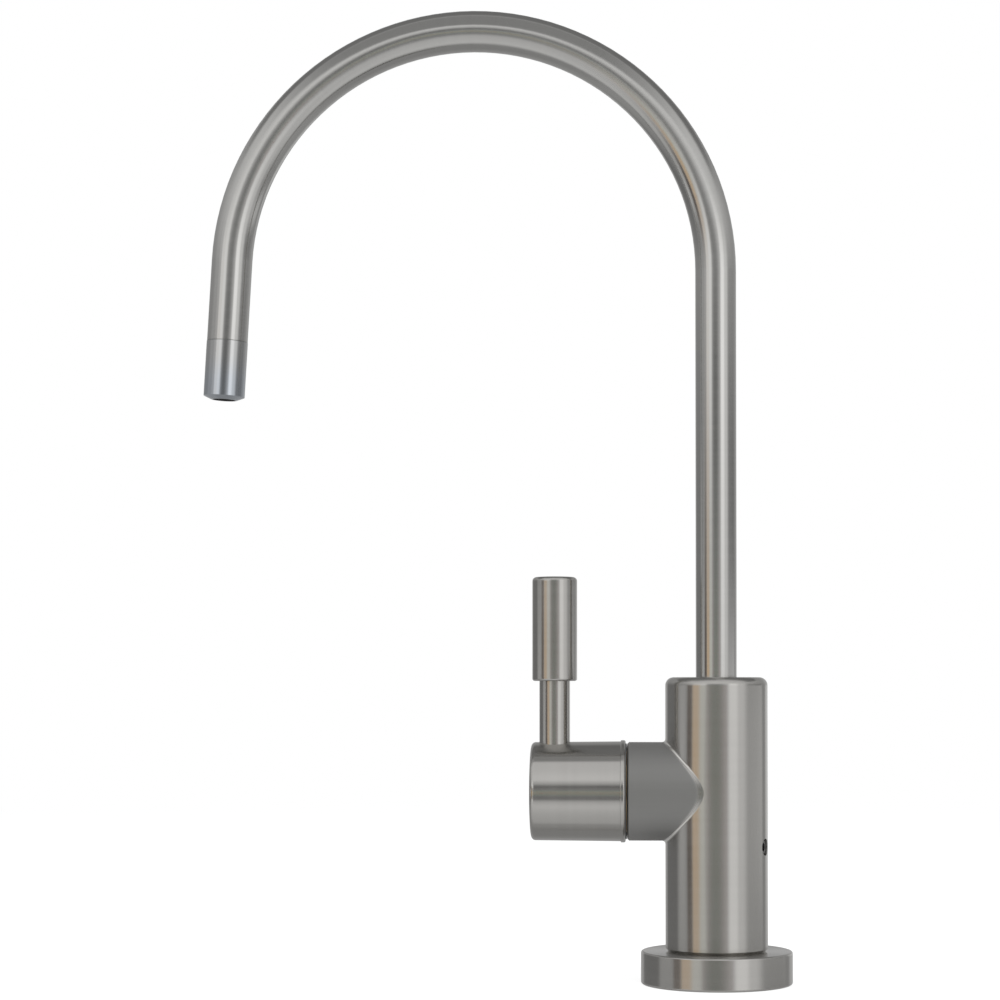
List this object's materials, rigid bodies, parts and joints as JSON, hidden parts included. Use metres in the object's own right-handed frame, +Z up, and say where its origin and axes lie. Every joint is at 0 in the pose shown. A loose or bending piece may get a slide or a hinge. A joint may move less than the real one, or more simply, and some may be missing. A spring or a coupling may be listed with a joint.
{
  "type": "drinking water faucet",
  "caption": "Deck-mounted drinking water faucet with a slim swivelling gooseneck spout, a round body and a quarter-turn side lever, with its shank, nuts and seals.",
  "frame": {"origin": "centre of the flange's underside, in the plane of the deck", "axes": "+Z up along the body and the spout's swivel axis; spout and handle point along -X"},
  "size_m": [0.1451, 0.037, 0.2921],
  "materials": {
    "brushed_nickel": "brushed nickel",
    "polished_nickel": "polished nickel",
    "plated_brass": "nickel plated, threaded",
    "brass": "turned brass",
    "zinc_steel": "zinc plated steel",
    "dark_steel": "spring steel",
    "black_rubber": "matte",
    "white_plastic": "moulded",
    "black_plastic": "moulded",
    "valve_ceramic": "lapped"
  },
  "bodies": {
    "base": {"faucet_body": "brushed_nickel", "base_flange": "brushed_nickel", "base_gasket": "black_rubber", "body_o_ring": "black_rubber", "body_grub_screw": "dark_steel", "threaded_shank": "plated_brass", "shank_seal": "black_rubber", "supply_nut": "brass", "supply_sleeve": "white_plastic", "cartridge_barrel": "brass", "cartridge_nut": "brass", "cartridge_o_ring": "black_rubber", "cartridge_seat_seal": "black_rubber", "fixed_disc": "valve_ceramic"},
    "spout": {"spout_tube": "brushed_nickel", "outlet_tip": "polished_nickel", "outlet_o_ring": "black_rubber", "flow_straightener": "black_plastic", "spout_ferrule": "brass", "spout_o_rings": "black_rubber", "spout_guide_ring": "white_plastic", "spout_snap_ring": "dark_steel"},
    "handle": {"handle_hub": "brushed_nickel", "hub_glide_ring": "black_plastic", "lever_stem": "brushed_nickel", "lever_knob": "brushed_nickel", "cartridge_spindle": "brass", "spindle_o_rings": "black_rubber", "spindle_clip": "dark_steel", "moving_disc": "valve_ceramic"},
    "deck_clamp": {"clamp_washer": "black_plastic", "lock_washer": "zinc_steel", "mounting_nut": "zinc_steel"}
  },
  "joints": [
    {"name": "spout_swivel", "type": "hinge", "parent": "base", "child": "spout", "pos_m": [0, 0, 0.0715], "axis": [0, 0, 1], "continuous": true},
    {"name": "handle_turn", "type": "hinge", "parent": "base", "child": "handle", "pos_m": [-0.0218, 0, 0.0468], "axis": [-1, 0, 0], "range_deg": [0, 90]},
    {"name": "mounting_nut_travel", "type": "slide", "parent": "base", "child": "deck_clamp", "axis": [0, 0, 1], "range_m": [-0.009, 0.018]}
  ]
}
